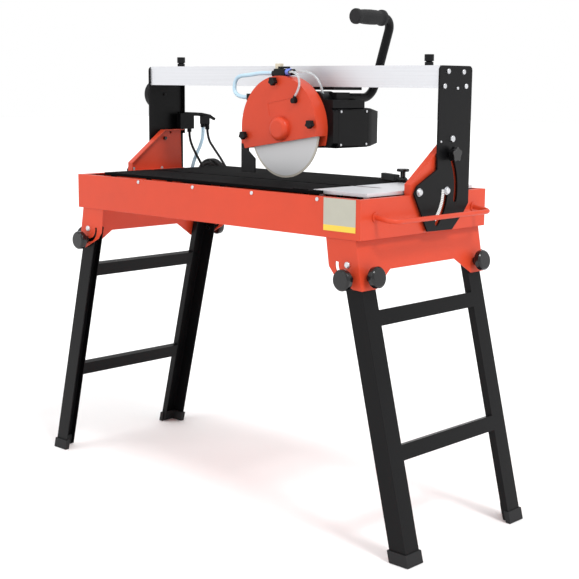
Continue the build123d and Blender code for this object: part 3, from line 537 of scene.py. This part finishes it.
THICK_NODES = ("pump", "mains_plug", "feet_right", "feet_left", "post_knob", "carriage", "arm", "motor",
               "fan_cover", "grip", "splash_flap", "fence_bar", "hose_arm")
SHEET_NODES = ("tub", "table_front", "table_rear", "bracket_right", "bracket_left", "gussets",
               "carry_rail", "leg_frame_right", "leg_frame_left", "post_right", "post_left", "guard_back",
               "guard_front", "beam", "fence_slide", "spindle", "fittings", "label_plate")
KNOB_NODES = tuple("%s_knob_%s_%s" % (kind, end, face)
                   for kind in ("leg", "end") for end in ("right", "left") for face in ("front", "back"))
SMALL_NODES = ("bevel_knob_right", "bevel_knob_left", "stop_knob_right", "stop_knob_left",
               "guard_knob_top", "guard_knob_right", "guard_knob_left", "fence_knob", "tap_lever")


class TILE_OT_materials(bpy.types.Operator):
    """Builds the finishes and puts one on every CAD node"""
    bl_idname = "tile.materials"
    bl_label = "Build finishes"

    def execute(self, context):
        build_materials(context.scene.tile_colours)
        for node, obj in frame["nodes"].items():
            set_material(obj, SLOT_FINISH[node_slot(node)])
        set_material(frame["nodes"]["end_plate"], "Plate Aluminium")
        return {"FINISHED"}


class TILE_OT_castings(bpy.types.Operator):
    """Softens the edges of the castings and mouldings"""
    bl_idname = "tile.castings"
    bl_label = "Castings and mouldings"

    def execute(self, context):
        for node in THICK_NODES:
            soften_copy(node, context.scene.tile_sizes.casting_edge)
        return {"FINISHED"}


class TILE_OT_sheet(bpy.types.Operator):
    """Softens the edges of the folded and welded sheet pieces"""
    bl_idname = "tile.sheet"
    bl_label = "Sheet pieces"

    def execute(self, context):
        for node in SHEET_NODES:
            soften_copy(node, context.scene.tile_sizes.sheet_edge)
        plate = soften_copy("end_plate", context.scene.tile_sizes.sheet_edge)
        set_material(plate, "Plate Aluminium")
        for name in ("table_front_soft", "table_rear_soft"):
            set_material(bpy.data.objects[name], "Table Coat")
        return {"FINISHED"}


class TILE_OT_knobs(bpy.types.Operator):
    """Softens the clamp knobs and small knobs"""
    bl_idname = "tile.knobs"
    bl_label = "Knobs"

    def execute(self, context):
        for node in KNOB_NODES + SMALL_NODES:
            soften_copy(node, context.scene.tile_sizes.casting_edge)
        return {"FINISHED"}


class TILE_OT_scales(bpy.types.Operator):
    """Makes the angle scale band on each post by spinning a strip about the tilt pivot"""
    bl_idname = "tile.scales"
    bl_label = "Angle scales"

    def execute(self, context):
        pivot = Vector(TILT_PIVOT)
        width = context.scene.tile_sizes.scale_width
        for name, side in (("right", 1), ("left", -1)):
            face = side * SCALE_FACE
            deselect()
            start = radians(SCALE_START_DEG)
            centre = (face, pivot.y + SCALE_RADIUS * cos(start), pivot.z + SCALE_RADIUS * sin(start))
            bpy.ops.mesh.primitive_plane_add(size=1.0, location=centre, rotation=(0, pi / 2, 0))
            obj = bpy.context.object
            obj.name = "angle_scale_" + name
            obj.scale = (SCALE_THICKNESS, width, 1.0)
            place_in_mesh(obj)
            bpy.ops.object.mode_set(mode="EDIT")
            bpy.ops.mesh.select_all(action="SELECT")
            bpy.ops.mesh.spin(steps=40, angle=radians(SCALE_SWEEP_DEG), center=(face, pivot.y, pivot.z),
                              axis=(1, 0, 0))
            bpy.ops.mesh.select_all(action="SELECT")
            bpy.ops.mesh.remove_doubles(threshold=0.00001)
            bpy.ops.mesh.normals_make_consistent(inside=False)
            bpy.ops.object.mode_set(mode="OBJECT")
            solid = obj.modifiers.new("Thickness", "SOLIDIFY")
            solid.thickness = SCALE_THICKNESS
            solid.offset = 0.0
            apply_modifiers(obj)
            settle(obj, "gantry", "Angle Scale")
        return {"FINISHED"}


def trim_block(name, centre, size, material, edge):
    deselect()
    bpy.ops.mesh.primitive_cube_add(size=1.0, location=centre)
    obj = bpy.context.object
    obj.name = name
    obj.scale = size
    place_in_mesh(obj)
    bevel = obj.modifiers.new("Soft edge", "BEVEL")
    bevel.width = edge
    bevel.segments = 2
    apply_modifiers(obj)
    settle(obj, "head", material)


def trim_disc(name, centre, radius, depth, rotation, material, edge):
    deselect()
    bpy.ops.mesh.primitive_cylinder_add(vertices=32, radius=radius, depth=depth, location=centre,
                                        rotation=rotation)
    obj = bpy.context.object
    obj.name = name
    place_in_mesh(obj)
    bevel = obj.modifiers.new("Soft edge", "BEVEL")
    bevel.width = edge
    bevel.segments = 2
    bevel.limit_method = "ANGLE"
    apply_modifiers(obj)
    settle(obj, "head", material)


class TILE_OT_trim(bpy.types.Operator):
    """Adds the tap's block and coupling, the grip's ring and the motor's screws"""
    bl_idname = "tile.trim"
    bl_label = "Small trim"

    def execute(self, context):
        along_x = (0, pi / 2, 0)
        along_y = (pi / 2, 0, 0)
        trim_block("tap_block", (0.075, CUT_Y, 1.1655), (0.018, 0.014, 0.015), "Beige Block", 0.0012)
        trim_disc("tap_coupling", (0.111, CUT_Y, 1.1505), 0.0094, 0.016, along_x, "Blue Connector",
                  0.0012)
        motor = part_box("motor")
        face = motor[1][0]
        middle = (motor[0][2] + motor[1][2]) / 2
        for number, (y, z) in enumerate(((0.004, 0.043), (0.004, -0.043), (0.106, 0.043), (0.106, -0.043))):
            name = "motor_screw_%d" % number
            place = (face + 0.0008, y, middle + z)
            trim_disc(name, place, 0.0034, 0.0024, along_x, "Zinc Plate", 0.0006)
        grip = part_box("grip")
        centre = ((grip[0][0] + grip[1][0]) / 2, grip[1][1] + 0.0015, (grip[0][2] + grip[1][2]) / 2)
        trim_disc("grip_ring", centre, 0.0172, 0.003, along_y, "Zinc Plate", 0.0006)
        return {"FINISHED"}


def smooth_line(name, points, resolution):
    """An object with one NURBS line guided by control points."""
    data = bpy.data.curves.new(name, "CURVE")
    data.dimensions = "3D"
    data.resolution_u = resolution
    spline = data.splines.new("NURBS")
    spline.points.add(len(points) - 1)
    for point, place in zip(spline.points, points):
        point.co = (*place, 1.0)
    spline.order_u = 3
    spline.use_endpoint_u = True
    obj = bpy.data.objects.new(name, data)
    bpy.context.collection.objects.link(obj)
    return obj


def curve_piece(name, points, diameter, body, material, node):
    """A smooth tube on a NURBS line, which stands for a CAD node."""
    obj = smooth_line(name, points, 10)
    obj.data.bevel_depth = diameter / 2
    obj.data.bevel_resolution = 4
    obj.data.use_fill_caps = True
    obj.data.materials.append(bpy.data.materials[material])
    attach(obj, body)
    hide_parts(node)
    return obj


def metres(points):
    return [tuple(value / 1000 for value in point) for point in points]


def line_length(points):
    """Length of the smooth line that a cord's control points give."""
    obj = smooth_line("measure", points, 12)
    mesh = bpy.data.meshes.new_from_object(obj)
    total = sum((mesh.vertices[e.vertices[0]].co - mesh.vertices[e.vertices[1]].co).length
                for e in mesh.edges)
    bpy.data.objects.remove(obj)
    return total


HOSE_ROUTE = [(-527, 229, 983), (-527, 230, 960), (-527, 221, 930), (-527, 200, 898),
              (-517, 177, 870), (-515, 163, 828)]
LEAD_ROUTE = [(-523, 168, 969), (-523, 169, 948), (-517, 178, 918), (-509, 190, 890),
              (-499, 205, 858), (-491, 201, 824)]
MAINS_ROUTE = [(-522, 243, 975), (-520, 244, 946), (-498, 248, 918), (-470, 256, 882), (-444, 264, 840),
               (-438, 266, 806), (-454, 266, 776), (-490, 266, 762)]
MAINS_END = [(-531, 272, 772), (-541, 274, 766)]
HEAD_HOSE_ROUTE = [(53, -45, 1147), (11, -45, 1149), (-35, -45, 1143), (-95, -45, 1139),
                   (-98, -45, 1080), (-39, -45, 1084)]
GUARD_TUBE_ROUTE = [(129, -45, 1150.5), (153, -45, 1153), (187, -39, 1149), (210, -29, 1123),
                    (205, -14, 1091)]
SPRAY_TUBE_ROUTE = [(128, -61, 1150), (147, -73, 1153), (173, -76, 1143), (179, -76, 1119),
                    (170, -76, 1099), (162, -76, 1089)]


def coil_points():
    """The stored turns of the mains lead, in layers about an axis along Y."""
    middle_x, middle_z = COIL_CENTRE
    last_step = TURNS_PER_LAYER - 1.0
    points = []
    for layer in range(COIL_LAYERS):
        radius = COIL_RADIUS - COIL_PITCH * layer
        outward = layer % 2 == 0
        first = COIL_NEAR_Y if outward else COIL_FAR_Y
        step = COIL_PITCH if outward else -COIL_PITCH
        for i in range(TURNS_PER_LAYER * POINTS_PER_TURN):
            turn = i / POINTS_PER_TURN
            angle = -pi / 2 - 2 * pi * turn
            depth = first + step * min(last_step, turn)
            points.append((middle_x + radius * cos(angle), depth, middle_z + radius * sin(angle)))
    return points


class TILE_OT_cords(bpy.types.Operator):
    """Lays the hoses, the leads and the stored coil of mains lead"""
    bl_idname = "tile.cords"
    bl_label = "Cords and hoses"

    def execute(self, context):
        sizes = context.scene.tile_sizes
        route = metres(MAINS_ROUTE) + coil_points() + metres(MAINS_END)
        lead = curve_piece("mains_lead", route, sizes.mains_diameter, "base",
                           "Black Rubber", "mains_cord")
        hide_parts("mains_cord", "mains_coil")
        line_length(route)
        held = (("supply_line", HOSE_ROUTE, sizes.hose_diameter, "base", "blue_hose", "supply_hose"),
                ("pump_cable", LEAD_ROUTE, sizes.mains_diameter, "base", "black_rubber", "pump_lead"),
                ("head_line", HEAD_HOSE_ROUTE, sizes.head_hose_diameter, "head", "blue_hose", "head_hose"),
                ("guard_line", GUARD_TUBE_ROUTE, sizes.tube_diameter, "head", "clear_tube", "guard_tube"),
                ("spray_line", SPRAY_TUBE_ROUTE, sizes.tube_diameter, "head", "clear_tube", "spray_tube"))
        for name, route, diameter, body, slot, node in held:
            points = metres(route)
            piece = curve_piece(name, points, diameter, body, SLOT_FINISH[slot], node)
            line_length(points)
        return {"FINISHED"}


class TILE_OT_stage(bpy.types.Operator):
    """Sets the floor, the lights and the camera"""
    bl_idname = "tile.stage"
    bl_label = "Stage"

    def execute(self, context):
        deselect()
        bpy.ops.mesh.primitive_plane_add(size=60, location=(0, 0, -0.001))
        floor = bpy.context.object
        floor.name = "studio_floor"
        place_in_mesh(floor)
        set_material(floor, "Studio Floor")
        world = bpy.data.worlds.new("Studio")
        context.scene.world = world
        context.scene.view_settings.view_transform = "Standard"
        world.use_nodes = True
        background = world.node_tree.nodes["Background"]
        background.inputs["Color"].default_value = (1.0, 1.0, 1.0, 1.0)
        background.inputs["Strength"].default_value = 1.0
        add_sun("Key", (radians(40), 0, radians(78)), 1.5, 0.25)
        add_sun("Fill", (radians(52), 0, radians(-10)), 0.5, 0.6)
        data = bpy.data.cameras.new("Camera")
        data.sensor_width = 36.0
        data.lens = CAMERA_LENS
        camera = bpy.data.objects.new("Camera", data)
        bpy.context.collection.objects.link(camera)
        camera.location = CAMERA_PLACE
        camera.rotation_euler = (radians(90 - CAMERA_DOWN_DEG), 0.0, radians(CAMERA_TURN_DEG))
        camera.rotation_euler.rotate_axis("Z", radians(CAMERA_ROLL_DEG))
        context.scene.camera = camera
        return {"FINISHED"}


def add_sun(name, rotation, strength, angle):
    data = bpy.data.lights.new(name, "SUN")
    data.energy = strength
    data.angle = angle
    sun = bpy.data.objects.new(name, data)
    sun.rotation_euler = rotation
    bpy.context.collection.objects.link(sun)


OPERATORS = (TILE_OT_materials, TILE_OT_castings, TILE_OT_sheet, TILE_OT_knobs, TILE_OT_scales,
             TILE_OT_trim, TILE_OT_cords, TILE_OT_stage)


class TILE_PT_panel(bpy.types.Panel):
    """Lists the sizes, the colours and the making steps"""
    bl_idname = "TILE_PT_panel"
    bl_label = "Tile Cutter"
    bl_space_type = "VIEW_3D"
    bl_region_type = "UI"
    bl_category = "Tile Cutter"

    def draw(self, context):
        column = self.layout.column()
        for settings in (context.scene.tile_sizes, context.scene.tile_colours):
            for name in settings.__annotations__:
                column.prop(settings, name)
        for operator in OPERATORS:
            column.operator(operator.bl_idname)


CLASSES = (FinishSettings, ColourSettings) + OPERATORS + (TILE_PT_panel,)


def register():
    for item in CLASSES:
        bpy.utils.register_class(item)
    bpy.types.Scene.tile_sizes = bpy.props.PointerProperty(type=FinishSettings)
    bpy.types.Scene.tile_colours = bpy.props.PointerProperty(type=ColourSettings)


def unregister():
    del bpy.types.Scene.tile_colours
    del bpy.types.Scene.tile_sizes
    for item in reversed(CLASSES):
        bpy.utils.unregister_class(item)


def main():
    register()
    bpy.ops.tile.materials()
    bpy.ops.tile.castings()
    bpy.ops.tile.sheet()
    bpy.ops.tile.knobs()
    bpy.ops.tile.scales()
    bpy.ops.tile.trim()
    bpy.ops.tile.cords()
    bpy.ops.tile.stage()


if __name__ == "__main__":
    main()
